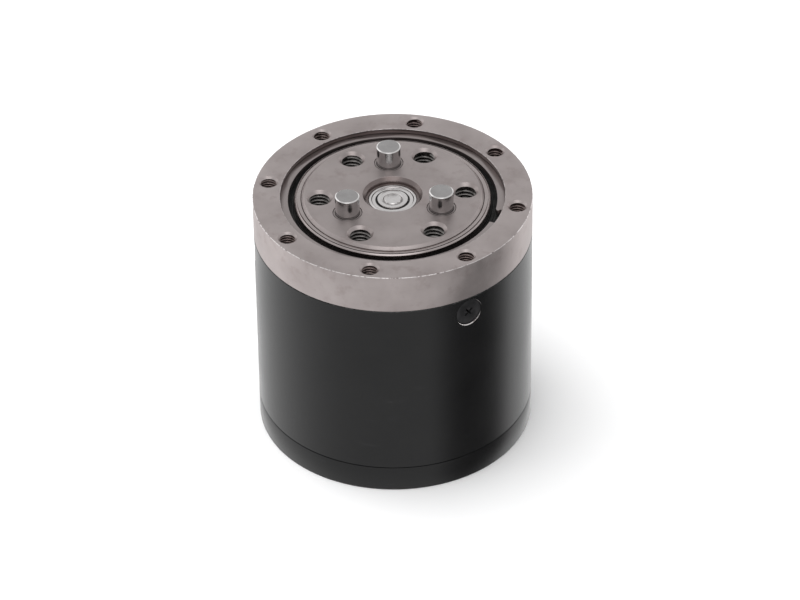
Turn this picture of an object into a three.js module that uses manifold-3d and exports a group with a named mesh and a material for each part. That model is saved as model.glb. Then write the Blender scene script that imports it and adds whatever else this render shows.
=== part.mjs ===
// Two-stage planetary gearbox, 46 mm across, for a small motor. Millimetres, +Z up.
// Origin: centre of the motor face at the bottom. The output carrier is at the top.
import * as THREE from "three";
import { mergeVertices } from "three/addons/utils/BufferGeometryUtils.js";
import Module from "manifold-3d";

const wasm = await Module();
wasm.setup();

// ---- Driving dimensions: lengths in mm, angles in degrees ----

const bodySegments = 40;
const innerSegments = 32;
const smallSegments = 16;
const holeSegments = 10;
const slip = 0.08; // between pieces of one body, on each side
const stackGap = 0.1; // between pieces of the housing or carrier stacked on one another
const breakthrough = 0.5; // how far a cutting tool runs past the face it cuts

// Housing
const bodyRadius = 23;
const bodyHeight = 44;
const flangeHeight = 6.85;
const adapterHeight = 4.75;
const wallRadius = 20.6; // inside of the black sleeve
const spigotRadius = 20.5; // what plugs into the sleeve from each end
const edgeBreak = 0.2;
const flangeBase = bodyHeight - flangeHeight;

// Gear train: both stages share the ring gear, and the module follows from the pins' circle
const centreDistance = 8.88; // from the axis to each planet's pin
const sunTeeth = 12;
const planetTeeth = 18;
const ringTeeth = sunTeeth + 2 * planetTeeth;
const gearModule = (2 * centreDistance) / (sunTeeth + planetTeeth);
const pressureAngle = 25;
const addendum = 0.9 * gearModule;
const dedendum = 1.1 * gearModule;
const backlash = 0.06; // each gear's tooth is this much thinner at the pitch circle
const planetCount = 3;
const ringTipRadius = (gearModule * ringTeeth) / 2 - addendum;
const ringPhase = 0;
const sunRelief = 0.3; // between the sun's tips and the rear plate's bore

// Heights of the stack, from the motor end
const adapterSpigotTop = 7;
const ringGearBase = 7.1;
const ringGearTop = 31.2;
const inputPlanetBase = 9.6;
const inputPlanetTop = 16.6;
const midPlateBase = 16.9;
const midPlateTop = 18.9;
const rearPlateBase = 19.4;
const rearPlateTop = 21.4;
const outputPlanetBase = 21.8;
const outputPlanetTop = 30.8;
const outputSunBase = 21.6;
const outputSunTop = 31;
const carrierBase = 31.3;
const plateRadius = 13.2;

// Output side
const boreRadius = 18.5;
const flangeThroat = 17.2; // below the main bearing's shoulder
const carrierRadius = 15;
const carrierShoulder = 16;
const carrierChamfer = 0.45;
const mainBearing = {
  inner: 15,
  outer: 18.5,
  base: 36,
  top: 40,
  ball: 0.8,
  balls: 12,
  innerShell: 0.9,
  outerShell: 0.9,
};
const sealBase = 40.3;
const sealTop = 42;
const sealLipRadius = 16.25;
const sleeveRadius = 16.13;
const sleeveTop = 43.5;
const snapRing = { inner: 17.2, outer: 18.8, base: 42.2, top: 43.2, gapStart: -13.1, gapEnd: -1.1 };
const grooveRadius = 18.95;
const flangeHoles = { count: 8, circle: 20.75, radius: 1.3, depth: 5.5 };
const carrierHoles = { count: 6, circle: 12, radius: 1.7, mouth: 2.1, depth: 8, phase: 14.3 };
const outputPin = { radius: 2, top: 47.3, chamfer: 0.2, phase: 104.3, pocket: 2.42, pocketDepth: 0.45 };
const pinCollar = { radius: 2.3, top: 43.95 };
const post = { radius: 2.3, circle: 10.9, phase: outputPin.phase - 60 };
const plateScrew = { radius: 1, head: 1.9, headDepth: 0.9, top: 27 };

// Centre bearing, which carries the tip of the middle shaft
const centreBearing = {
  inner: 1.5,
  outer: 4,
  base: 39.05,
  top: 43.05,
  ball: 0.45,
  balls: 7,
  innerShell: 1,
  outerShell: 0.5,
};
const centreShield = { inner: 2.8, base: 42.6, top: 42.87 };
const centreMouth = { radius: 4.4, chamfer: 0.55 };
const midShaft = { top: 43.1, chamfer: 0.2, clearance: 2.4 };
const midStem = { radius: 2.8, top: 21.8 };

// Radial screws through the sleeve into the flange
const radialScrew = {
  count: 3,
  phase: -47.4,
  height: 34.25,
  face: 22.8,
  tip: 17.7,
  radius: 1.25,
  head: 2.3,
  headDepth: 1.05,
};

// Motor side
const pilotRadius = 11;
const pilotDepth = 2;
const adapterBossRadius = 10;
const inputBearing = {
  inner: 4,
  outer: 8,
  base: 3,
  top: 8,
  ball: 0.65,
  balls: 7,
  innerShell: 1.2,
  outerShell: 1.2,
};
const inputHub = { radius: 4, base: 0.8, top: 9.1, collar: 4.7, bore: 2.5, boreTop: 8.6 };
const motorHoles = { count: 4, circle: 16, radius: 1.3, phase: 45 };
const adapterScrew = { count: 4, circle: 18, radius: 1.3, head: 2.75, face: 0.1, headDepth: 1.5, top: 13 };
const inputPin = { radius: 1.5, base: 9.4, chamfer: 0.1 };
const inputPhase = outputPin.phase - 60;

// Bronze bushes between the pins and their planets
const bushWall = 0.65;

// ---- Materials ----

function metal(color, roughness, metalness = 1) {
  return new THREE.MeshStandardMaterial({ color, roughness, metalness, flatShading: true });
}
const satinSteel = metal(0x968d8b, 0.42);
const groundSteel = metal(0xb4b1b0, 0.25);
const gearSteel = metal(0x85868a, 0.35);
const blackAnodised = metal(0x18181a, 0.38, 0.6);
const blackOxide = metal(0x26262a, 0.4, 0.8);
const bronze = metal(0xa07a45, 0.35);
const rubber = metal(0x101010, 0.75, 0);

// ---- Geometry tools ----

const radians = THREE.MathUtils.degToRad;

// A closed geometry as a solid that can be joined and cut.
function solid(geometry) {
  const bare = geometry.clone();
  bare.deleteAttribute("normal");
  bare.deleteAttribute("uv");
  const merged = mergeVertices(bare, 1e-4);
  const corners = merged.index.array;
  const triangles = [];
  for (let i = 0; i < corners.length; i += 3) {
    const [a, b, c] = corners.slice(i, i + 3);
    if (a !== b && b !== c && c !== a) triangles.push(a, b, c);
  }
  return new wasm.Manifold(
    new wasm.Mesh({
      numProp: 3,
      vertProperties: merged.attributes.position.array,
      triVerts: new Uint32Array(triangles),
    }),
  );
}

function geometryOf(shape) {
  const mesh = shape.getMesh();
  const geometry = new THREE.BufferGeometry();
  geometry.setAttribute("position", new THREE.BufferAttribute(mesh.vertProperties, 3));
  geometry.setIndex(new THREE.BufferAttribute(mesh.triVerts, 1));
  return geometry;
}

const joined = (first, ...rest) =>
  geometryOf(rest.reduce((sum, piece) => sum.add(solid(piece)), solid(first)));

const cut = (base, ...tools) =>
  geometryOf(tools.reduce((left, tool) => left.subtract(solid(tool)), solid(base)));

// A profile of [radius, height] points turned about Z.
function turned(profile, segments) {
  const points = [...profile, profile[0]].map(([r, z]) => new THREE.Vector2(r, z));
  if (THREE.ShapeUtils.area(points) < 0) points.reverse();
  return new THREE.LatheGeometry(points, segments).rotateX(Math.PI / 2);
}

const tube = (inner, outer, base, top, segments) =>
  turned([[inner, base], [outer, base], [outer, top], [inner, top]], segments);

const rod = (radius, base, top, segments) => tube(0, radius, base, top, segments);

function extruded(shape, base, top) {
  const options = { depth: top - base, bevelEnabled: false, curveSegments: smallSegments };
  return new THREE.ExtrudeGeometry(shape, options).translate(0, 0, base);
}

// Copies of a geometry at even angles on a circle about Z.
function ringOf(geometry, count, circle, phase = 0) {
  return Array.from({ length: count }, (_, i) =>
    geometry.clone().translate(circle, 0, 0).rotateZ(radians(phase + (360 * i) / count)),
  );
}

const involute = (angle) => Math.tan(angle) - angle;

// The outline of an involute gear with a tooth centred on +X. It is also the outline of an
// internal gear's hollow, whose "teeth" are the spaces, when thinning is negative.
function gearOutline(teeth, rootRadius, tipRadius, thinning) {
  const pitchRadius = (gearModule * teeth) / 2;
  const baseRadius = pitchRadius * Math.cos(radians(pressureAngle));
  const halfTooth = Math.PI / (2 * teeth) - thinning / (2 * pitchRadius);
  const halfAngle = (radius) => {
    const slope = Math.acos(Math.min(1, baseRadius / radius));
    return halfTooth + involute(radians(pressureAngle)) - involute(slope);
  };
  const flank = [rootRadius, tipRadius];
  const points = [];
  for (let tooth = 0; tooth < teeth; tooth++) {
    const middle = (2 * Math.PI * tooth) / teeth;
    const corner = (radius, angle) =>
      new THREE.Vector2(radius * Math.cos(angle), radius * Math.sin(angle));
    flank.forEach((radius) => points.push(corner(radius, middle - halfAngle(radius))));
    flank.toReversed().forEach((radius) => points.push(corner(radius, middle + halfAngle(radius))));
  }
  return new THREE.Shape(points);
}

function externalGear(teeth, base, top) {
  const pitchRadius = (gearModule * teeth) / 2;
  const outline = gearOutline(teeth, pitchRadius - dedendum, pitchRadius + addendum, backlash);
  return extruded(outline, base, top);
}

// Rotations that put a stage in mesh, for a planet carrier turned by phase.
function sunTurn(phase) {
  const drop = radians(phase) * (sunTeeth + ringTeeth) - radians(ringPhase) * ringTeeth;
  return (Math.PI * (planetTeeth - 1) + drop) / sunTeeth;
}
function planetTurn(phase, angle) {
  const lag = Math.PI + (sunTurn(phase) - radians(angle)) * sunTeeth;
  return radians(angle) + Math.PI - lag / planetTeeth;
}

// A countersunk screw along +Z with its flat face at the given height. Its hole is grown all
// round, and its mouth runs out past the face.
function flatHeadProfile({ radius, head, headDepth }, face, tip, grow = 0) {
  const mouth = grow > 0 ? face - breakthrough : face;
  return [
    [0, mouth],
    [head + grow, mouth],
    [head + grow, face + slip],
    [radius + grow, face + headDepth],
    [radius + grow, tip + grow],
    [0, tip + grow],
  ];
}

// ---- Assembly tools ----

const gearbox = new THREE.Group();

function body() {
  const group = new THREE.Group();
  gearbox.add(group);
  return group;
}

function add(group, name, geometry, material) {
  const mesh = new THREE.Mesh(geometry, material);
  mesh.name = name;
  group.add(mesh);
  return mesh;
}

// Named copies of one geometry, from prefix_1 on.
function addRing(group, prefix, geometry, material, count, circle, phase) {
  ringOf(geometry, count, circle, phase).forEach((copy, i) => {
    add(group, `${prefix}_${i + 1}`, copy, material);
  });
}

// A ball bearing's races, and its cage with the balls held in it.
function addBearing(prefix, bearing, outerBody, innerBody, segments) {
  const { inner, outer, base, top, ball, balls, innerShell, outerShell } = bearing;
  const pitch = (inner + innerShell + outer - outerShell) / 2;
  const middle = (base + top) / 2;
  const cageHalf = ball / 2;
  const [cageInner, cageOuter] = [pitch - cageHalf, pitch + cageHalf];
  const outerRace = tube(outer - outerShell, outer - slip, base, top, segments);
  const innerRace = tube(inner + slip, inner + innerShell, base, top, segments);
  const cage = tube(cageInner, cageOuter, middle - cageHalf, middle + cageHalf, smallSegments);
  const sphere = new THREE.SphereGeometry(ball, 6, 3).translate(0, 0, middle);
  add(outerBody, `${prefix}_outer_race`, outerRace, groundSteel);
  add(innerBody, `${prefix}_inner_race`, innerRace, groundSteel);
  add(body(), `${prefix}_balls`, joined(cage, ...ringOf(sphere, balls, pitch)), groundSteel);
}

// ---- Housing ----

const housing = body();

function flatHeadHole(screw, face, tip) {
  return turned(flatHeadProfile(screw, face, tip, 3 * slip), holeSegments);
}

// The radial screws, or with grow their holes, pointing inwards at the axis.
function radialRing(grow) {
  const { face, tip, height, count, phase } = radialScrew;
  const upright = turned(flatHeadProfile(radialScrew, -face, -tip, grow), holeSegments);
  return ringOf(upright.rotateY(-Math.PI / 2).translate(0, 0, height), count, 0, phase);
}

const radialHoles = radialRing(3 * slip);

function outputFlange() {
  const root = ringGearTop + stackGap;
  const blank = turned(
    [
      [flangeThroat, root],
      [spigotRadius, root],
      [spigotRadius, flangeBase],
      [bodyRadius, flangeBase],
      [bodyRadius, bodyHeight - edgeBreak],
      [bodyRadius - edgeBreak, bodyHeight],
      [boreRadius + edgeBreak / 2, bodyHeight],
      [boreRadius, bodyHeight - edgeBreak / 2],
      [boreRadius, snapRing.top + slip],
      [grooveRadius, snapRing.top + slip],
      [grooveRadius, snapRing.base - slip],
      [boreRadius, snapRing.base - slip],
      [boreRadius, mainBearing.base],
      [flangeThroat, mainBearing.base],
    ],
    bodySegments,
  );
  const { count, circle, radius, depth } = flangeHoles;
  const drill = rod(radius, bodyHeight - depth, bodyHeight + breakthrough, holeSegments);
  return cut(blank, ...ringOf(drill, count, circle), ...radialHoles);
}

function ringGear() {
  const rim = new THREE.Shape();
  for (let i = 0; i < bodySegments; i++) {
    const angle = (2 * Math.PI * i) / bodySegments;
    const point = [spigotRadius * Math.cos(angle), spigotRadius * Math.sin(angle)];
    if (i === 0) rim.moveTo(...point);
    else rim.lineTo(...point);
  }
  const pitchRadius = (gearModule * ringTeeth) / 2;
  rim.holes.push(gearOutline(ringTeeth, ringTipRadius, pitchRadius + dedendum, -backlash));
  const { radius, top, count, circle } = adapterScrew;
  const drill = rod(radius + 2 * slip, ringGearBase - breakthrough, top + 2 * slip, holeSegments);
  return cut(extruded(rim, ringGearBase, ringGearTop), ...ringOf(drill, count, circle));
}

function motorAdapter() {
  const lip = inputBearing.outer - inputBearing.outerShell;
  const blank = turned(
    [
      [pilotRadius, 0],
      [bodyRadius - edgeBreak, 0],
      [bodyRadius, edgeBreak],
      [bodyRadius, adapterHeight],
      [spigotRadius, adapterHeight],
      [spigotRadius, adapterSpigotTop],
      [adapterBossRadius, adapterSpigotTop],
      [adapterBossRadius, inputBearing.top],
      [inputBearing.outer, inputBearing.top],
      [inputBearing.outer, inputBearing.base - slip],
      [lip, inputBearing.base - slip],
      [lip, pilotDepth],
      [pilotRadius, pilotDepth],
    ],
    bodySegments,
  );
  const { count, circle, radius, phase } = motorHoles;
  const drill = rod(radius, -breakthrough, adapterSpigotTop + breakthrough, holeSegments);
  const screwHole = flatHeadHole(adapterScrew, adapterScrew.face, adapterSpigotTop + breakthrough);
  const screwHoles = ringOf(screwHole, adapterScrew.count, adapterScrew.circle);
  return cut(blank, ...ringOf(drill, count, circle, phase), ...screwHoles);
}

// An open ring with a gap where pliers spread it.
function retainingRing() {
  const start = radians(snapRing.gapEnd);
  const end = radians(snapRing.gapStart + 360);
  const outline = new THREE.Shape();
  outline.absarc(0, 0, snapRing.outer, start, end, false);
  outline.absarc(0, 0, snapRing.inner, end, start, true);
  return extruded(outline, snapRing.base, snapRing.top);
}

add(housing, "output_flange", outputFlange(), satinSteel);
const sleeveBlank = tube(wallRadius, bodyRadius, adapterHeight, flangeBase, bodySegments);
add(housing, "housing_sleeve", cut(sleeveBlank, ...radialHoles), blackAnodised);
add(housing, "ring_gear", ringGear(), gearSteel);
add(housing, "motor_adapter", motorAdapter(), blackAnodised);
add(housing, "retaining_ring", retainingRing(), satinSteel);
const sealBlank = tube(sealLipRadius, boreRadius - slip, sealBase, sealTop, innerSegments);
add(housing, "output_seal", sealBlank, rubber);

radialRing(0).forEach((screw, i) => {
  add(housing, `radial_screw_${i + 1}`, screw, blackOxide);
});

const adapterScrewProfile = flatHeadProfile(adapterScrew, adapterScrew.face, adapterScrew.top);
addRing(
  housing,
  "adapter_screw",
  turned(adapterScrewProfile, holeSegments),
  blackOxide,
  adapterScrew.count,
  adapterScrew.circle,
);

// ---- Output carrier: turns as one with its pins, rear plate and seal sleeve ----

const outputCarrier = body();

function outputCarrierBlock() {
  const centreFloor = centreBearing.base - slip;
  const blank = turned(
    [
      [midShaft.clearance, carrierBase],
      [carrierShoulder, carrierBase],
      [carrierShoulder, mainBearing.base],
      [carrierRadius, mainBearing.base],
      [carrierRadius, bodyHeight - carrierChamfer],
      [carrierRadius - carrierChamfer, bodyHeight],
      [centreMouth.radius + centreMouth.chamfer, bodyHeight],
      [centreMouth.radius, bodyHeight - centreMouth.chamfer],
      [centreMouth.radius, centreBearing.top],
      [centreBearing.outer, centreBearing.top],
      [centreBearing.outer, centreFloor],
      [midShaft.clearance, centreFloor],
    ],
    innerSegments,
  );
  const posts = ringOf(
    rod(post.radius, rearPlateTop, carrierBase + breakthrough, smallSegments),
    planetCount,
    post.circle,
    post.phase,
  );
  const tapped = turned(
    [
      [0, bodyHeight - carrierHoles.depth],
      [carrierHoles.radius, bodyHeight - carrierHoles.depth],
      [carrierHoles.radius, bodyHeight - carrierHoles.mouth + carrierHoles.radius],
      [carrierHoles.mouth + breakthrough, bodyHeight + breakthrough],
      [0, bodyHeight + breakthrough],
    ],
    holeSegments,
  );
  const pinHole = turned(
    [
      [0, carrierBase - breakthrough],
      [outputPin.radius + slip, carrierBase - breakthrough],
      [outputPin.radius + slip, bodyHeight - outputPin.pocketDepth],
      [outputPin.pocket, bodyHeight - outputPin.pocketDepth],
      [outputPin.pocket, bodyHeight + breakthrough],
      [0, bodyHeight + breakthrough],
    ],
    smallSegments,
  );
  const screwHole = flatHeadHole(plateScrew, rearPlateBase + slip, plateScrew.top);
  return cut(
    joined(blank, ...posts),
    ...ringOf(tapped, carrierHoles.count, carrierHoles.circle, carrierHoles.phase),
    ...ringOf(pinHole, planetCount, centreDistance, outputPin.phase),
    ...ringOf(screwHole, planetCount, post.circle, post.phase),
  );
}

function rearPlate() {
  const sunHole = (gearModule * sunTeeth) / 2 + addendum + sunRelief;
  const blank = tube(sunHole, plateRadius, rearPlateBase, rearPlateTop - slip, innerSegments);
  const top = rearPlateTop + breakthrough;
  const pinHole = rod(outputPin.radius + slip, rearPlateBase - breakthrough, top, smallSegments);
  const screwHole = flatHeadHole(plateScrew, rearPlateBase + slip, top);
  return cut(
    blank,
    ...ringOf(pinHole, planetCount, centreDistance, outputPin.phase),
    ...ringOf(screwHole, planetCount, post.circle, post.phase),
  );
}

function chamferedPin(radius, base, top, chamfer) {
  const profile = [
    [0, base],
    [radius, base],
    [radius, top - chamfer],
    [radius - chamfer, top],
    [0, top],
  ];
  return turned(profile, smallSegments);
}

add(outputCarrier, "output_carrier", outputCarrierBlock(), satinSteel);
add(outputCarrier, "carrier_rear_plate", rearPlate(), satinSteel);
addRing(
  outputCarrier,
  "output_pin",
  chamferedPin(outputPin.radius, rearPlateBase + slip, outputPin.top, outputPin.chamfer),
  groundSteel,
  planetCount,
  centreDistance,
  outputPin.phase,
);
// A collar round each pin, at the bottom of its pocket.
const collarBase = bodyHeight - outputPin.pocketDepth + slip;
addRing(
  outputCarrier,
  "pin_collar",
  tube(outputPin.radius + slip, pinCollar.radius, collarBase, pinCollar.top, smallSegments),
  groundSteel,
  planetCount,
  centreDistance,
  outputPin.phase,
);
const plateScrewProfile = flatHeadProfile(plateScrew, rearPlateBase + slip, plateScrew.top);
addRing(
  outputCarrier,
  "rear_plate_screw",
  turned(plateScrewProfile, holeSegments),
  blackOxide,
  planetCount,
  post.circle,
  post.phase,
);
const sleeveBase = mainBearing.top + stackGap;
const sealSleeve = tube(carrierRadius + slip, sleeveRadius, sleeveBase, sleeveTop, innerSegments);
add(outputCarrier, "seal_sleeve", sealSleeve, satinSteel);
const shieldOuter = centreBearing.outer - centreBearing.outerShell - slip;
const { inner: shieldInner, base: shieldBase, top: shieldTop } = centreShield;
const shield = tube(shieldInner, shieldOuter, shieldBase, shieldTop, smallSegments);
add(outputCarrier, "centre_bearing_shield", shield, groundSteel);

// ---- Middle carrier: the first stage's carrier, with the second stage's sun on its shaft ----

const middleCarrier = body();

function middleSun() {
  const gear = externalGear(sunTeeth, outputSunBase, outputSunTop);
  const stem = rod(midStem.radius, midPlateBase, midStem.top, smallSegments);
  const shaft = chamferedPin(centreBearing.inner, outputPlanetTop, midShaft.top, midShaft.chamfer);
  return joined(gear.rotateZ(sunTurn(outputPin.phase)), stem, shaft);
}

function middlePlate() {
  const blank = tube(midStem.radius + slip, plateRadius, midPlateBase, midPlateTop, innerSegments);
  const [base, top] = [midPlateBase - breakthrough, midPlateTop + breakthrough];
  const pinHole = rod(inputPin.radius + slip, base, top, smallSegments);
  return cut(blank, ...ringOf(pinHole, planetCount, centreDistance, inputPhase));
}

add(middleCarrier, "middle_carrier", middlePlate(), satinSteel);
add(middleCarrier, "middle_sun_gear", middleSun(), gearSteel);
addRing(
  middleCarrier,
  "input_pin",
  chamferedPin(inputPin.radius, inputPin.base, midPlateTop - slip, inputPin.chamfer),
  groundSteel,
  planetCount,
  centreDistance,
  inputPhase,
);

// ---- Planets: each turns on its own pin, with its bush ----

function addPlanets(prefix, pinRadius, base, top, phase) {
  const bushInner = pinRadius + 2 * slip;
  const bushOuter = bushInner + bushWall;
  const gear = externalGear(planetTeeth, base, top);
  const bore = rod(bushOuter + 2 * slip, base - breakthrough, top + breakthrough, holeSegments);
  const planet = cut(gear, bore);
  const bush = tube(bushInner, bushOuter, base, top, holeSegments);
  for (let i = 0; i < planetCount; i++) {
    const angle = phase + (360 * i) / planetCount;
    const group = body();
    const [x, y] = [Math.cos(radians(angle)), Math.sin(radians(angle))];
    group.position.set(centreDistance * x, centreDistance * y, 0);
    group.rotation.z = planetTurn(phase, angle);
    add(group, `${prefix}_${i + 1}`, planet, gearSteel);
    add(group, `${prefix}_bush_${i + 1}`, bush, bronze);
  }
}

addPlanets("output_planet", outputPin.radius, outputPlanetBase, outputPlanetTop, outputPin.phase);
addPlanets("input_planet", inputPin.radius, inputPlanetBase, inputPlanetTop, inputPhase);

// ---- Input: the first stage's sun on a hub that takes the motor shaft ----

const input = body();

function inputSun() {
  const { radius, base, top, collar, bore, boreTop } = inputHub;
  const hub = turned(
    [
      [0, base],
      [radius, base],
      [radius, inputBearing.top + slip],
      [collar, inputBearing.top + slip],
      [collar, top],
      [0, top],
    ],
    smallSegments,
  );
  const gear = externalGear(sunTeeth, top - slip, inputPlanetTop).rotateZ(sunTurn(inputPhase));
  return cut(joined(hub, gear), rod(bore, base - breakthrough, boreTop, smallSegments));
}

add(input, "input_sun_gear", inputSun(), gearSteel);

addBearing("main_bearing", mainBearing, housing, outputCarrier, innerSegments);
addBearing("centre_bearing", centreBearing, outputCarrier, middleCarrier, smallSegments);
addBearing("input_bearing", inputBearing, housing, input, smallSegments);

export default gearbox;
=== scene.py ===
"""Looks of the planetary gearbox: fine meshes, materials, floor, light and camera."""
import math

import bmesh
import bpy
from mathutils import Matrix, Vector

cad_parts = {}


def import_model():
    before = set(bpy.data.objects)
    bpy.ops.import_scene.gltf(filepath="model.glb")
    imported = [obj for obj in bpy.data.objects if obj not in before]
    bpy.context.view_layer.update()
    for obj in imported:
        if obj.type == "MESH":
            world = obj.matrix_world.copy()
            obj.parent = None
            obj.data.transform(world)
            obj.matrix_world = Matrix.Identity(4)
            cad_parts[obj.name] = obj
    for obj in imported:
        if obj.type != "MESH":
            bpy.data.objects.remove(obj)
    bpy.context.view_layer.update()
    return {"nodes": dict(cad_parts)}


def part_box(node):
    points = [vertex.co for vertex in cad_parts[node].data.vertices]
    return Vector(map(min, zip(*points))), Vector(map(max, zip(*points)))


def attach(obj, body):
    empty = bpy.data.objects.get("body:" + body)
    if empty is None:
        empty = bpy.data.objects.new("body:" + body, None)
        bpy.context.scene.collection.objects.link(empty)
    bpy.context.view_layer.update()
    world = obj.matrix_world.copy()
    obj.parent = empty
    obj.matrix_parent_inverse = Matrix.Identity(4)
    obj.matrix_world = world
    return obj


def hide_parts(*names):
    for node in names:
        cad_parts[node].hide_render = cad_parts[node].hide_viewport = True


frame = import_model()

mm = 0.001
TAU = 2 * math.pi
rad = math.radians
nodes_of = frame["nodes"]


# ---- Sizes, in metres, from the frame ----

def low(node):
    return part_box(node)[0].z


def high(node):
    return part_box(node)[1].z


def reach(node):
    """Outer radius of a node that is centred on the main axis."""
    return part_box(node)[1].x


BODY = reach("housing_sleeve")
FACE = high("output_flange")
FLANGE_BASE = high("housing_sleeve")
SEAM = low("housing_sleeve")
CARRIER_BASE = low("output_carrier")
BORE = 18.5 * mm
GROOVE = 18.95 * mm
THROAT = 17.2 * mm
SPIGOT = 20.5 * mm
WALL = 20.6 * mm
CARRIER = 15 * mm
SHOULDER = 16 * mm
SEAT_BASE = low("main_bearing_outer_race")
SNAP_BASE, SNAP_TOP = low("retaining_ring"), high("retaining_ring")
SEAL_BASE, SEAL_TOP = low("output_seal"), high("output_seal")
SLEEVE_TOP = high("seal_sleeve")
SLEEVE = 16.13 * mm
PIN_PHASE = 104.3
PIN_CIRCLE = 8.88 * mm
PIN, COLLAR, POCKET = 2 * mm, 2.3 * mm, 2.42 * mm
POCKET_FLOOR = FACE - 0.45 * mm
INPUT_PHASE = PIN_PHASE - 60
POST_CIRCLE = 10.9 * mm
TAP_PHASE = 14.3
RADIAL_PHASE = -47.4
RADIAL_HEIGHT = 34.25 * mm
RADIAL_RIM = 22.88 * mm  # where the chamfer round a radial screw's head starts
M3 = (1.28 * mm, 1.52 * mm, 0.5 * mm)  # minor radius, major radius and pitch
M4 = (1.68 * mm, 2.02 * mm, 0.7 * mm)
M3_MOUTH, M4_MOUTH = 1.62 * mm, 2.18 * mm  # radius of each countersink
M3_INSIDE, M4_INSIDE = 1.56 * mm, 2.08 * mm  # faces nearer than this are inside the hole

FINE = 288  # steps round the large turned pieces
MEDIUM = 128
SMALL = 64
SHARP = rad(28)  # edges over this angle are drawn sharp


# ---- Mesh tools ----

def rounded(corners, steps=3):
    """An outline of (radius, height) corners; a third number rounds that corner."""
    points = []
    for i, corner in enumerate(corners):
        here = Vector(corner[:2])
        if len(corner) == 2:
            points.append(here)
            continue
        before = (Vector(corners[i - 1][:2]) - here).normalized()
        after = (Vector(corners[(i + 1) % len(corners)][:2]) - here).normalized()
        half = before.angle(after) / 2
        fillet = corner[2]
        centre = here + (before + after).normalized() * fillet / math.sin(half)
        first = here + before * fillet / math.tan(half) - centre
        last = here + after * fillet / math.tan(half) - centre
        for step in range(steps + 1):
            share = step / steps
            turn = first.angle_signed(last) * share
            arm = Matrix.Rotation(-turn, 2) @ first
            points.append(centre + arm)
    return points


def arc(centre, radius, start, end, steps):
    """Points of an arc in the (radius, height) plane, angles in degrees."""
    turns = [rad(start + (end - start) * i / steps) for i in range(steps + 1)]
    return [(centre[0] + radius * math.cos(t), centre[1] + radius * math.sin(t)) for t in turns]


def new_object(name, verts, faces):
    mesh = bpy.data.meshes.new(name)
    mesh.from_pydata([tuple(v) for v in verts], [], faces)
    made = bmesh.new()
    made.from_mesh(mesh)
    bmesh.ops.remove_doubles(made, verts=made.verts, dist=1e-8)
    bmesh.ops.recalc_face_normals(made, faces=made.faces)
    made.to_mesh(mesh)
    made.free()
    thing = bpy.data.objects.new(name, mesh)
    bpy.context.scene.collection.objects.link(thing)
    return thing


def lathe(name, outline, steps):
    """A closed (radius, height) outline turned about Z."""
    count = len(outline)
    verts = []
    for i in range(steps):
        turn = TAU * i / steps
        verts += [(r * math.cos(turn), r * math.sin(turn), z) for r, z in outline]
    faces = []
    for i in range(steps):
        here, there = i * count, (i + 1) % steps * count
        for j in range(count):
            k = (j + 1) % count
            faces.append((here + j, there + j, there + k, here + k))
    return new_object(name, verts, faces)


def tube(name, inner, outer, base, top, steps, edge=0.08 * mm):
    corners = [(inner, base, edge), (outer, base, edge), (outer, top, edge), (inner, top, edge)]
    return lathe(name, rounded(corners, 2), steps)


def rod(name, radius, base, top, steps):
    return lathe(name, [(0, base), (radius, base), (radius, top), (0, top)], steps)


def prism(name, outline, base, top):
    """A flat outline of (x, y) points raised from base to top."""
    count = len(outline)
    verts = [(x, y, base) for x, y in outline] + [(x, y, top) for x, y in outline]
    faces = [tuple(reversed(range(count))), tuple(range(count, 2 * count))]
    faces += [(i, (i + 1) % count, count + (i + 1) % count, count + i) for i in range(count)]
    return new_object(name, verts, faces)


def moved(thing, matrix):
    thing.data.transform(matrix)
    return thing


def spot(circle, degrees, turn=0.0):
    """Places a piece made on the main axis at an angle on a circle."""
    place = Matrix.Rotation(rad(degrees), 4, "Z") @ Matrix.Translation((circle, 0, 0))
    return place @ Matrix.Rotation(turn, 4, "Z")


def ring_angles(count, phase=0):
    return [phase + 360 * i / count for i in range(count)]


def merged(name, things):
    """One object from several, which stay separate closed shells in it."""
    whole = bmesh.new()
    for thing in things:
        whole.from_mesh(thing.data)
        bpy.data.objects.remove(thing)
    mesh = bpy.data.meshes.new(name)
    whole.to_mesh(mesh)
    whole.free()
    made = bpy.data.objects.new(name, mesh)
    bpy.context.scene.collection.objects.link(made)
    return made


def ringed(name, thing, count, circle, phase=0):
    """Copies of a cutter at even angles, as one object."""
    whole = bmesh.new()
    for degrees in ring_angles(count, phase):
        copy = thing.data.copy()
        copy.transform(spot(circle, degrees))
        whole.from_mesh(copy)
        bpy.data.meshes.remove(copy)
    bpy.data.objects.remove(thing)
    mesh = bpy.data.meshes.new(name)
    whole.to_mesh(mesh)
    whole.free()
    made = bpy.data.objects.new(name, mesh)
    bpy.context.scene.collection.objects.link(made)
    return made


def boolean(target, tool, operation="DIFFERENCE"):
    cutter = target.modifiers.new("cutter", "BOOLEAN")
    cutter.operation = operation
    cutter.solver = "MANIFOLD"
    cutter.object = tool
    graph = bpy.context.evaluated_depsgraph_get()
    result = bpy.data.meshes.new_from_object(target.evaluated_get(graph))
    target.modifiers.clear()
    target.data = result
    bpy.data.objects.remove(tool)
    if not result.polygons:
        raise RuntimeError(f"the boolean on {target.name} left nothing")
    return target


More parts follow.
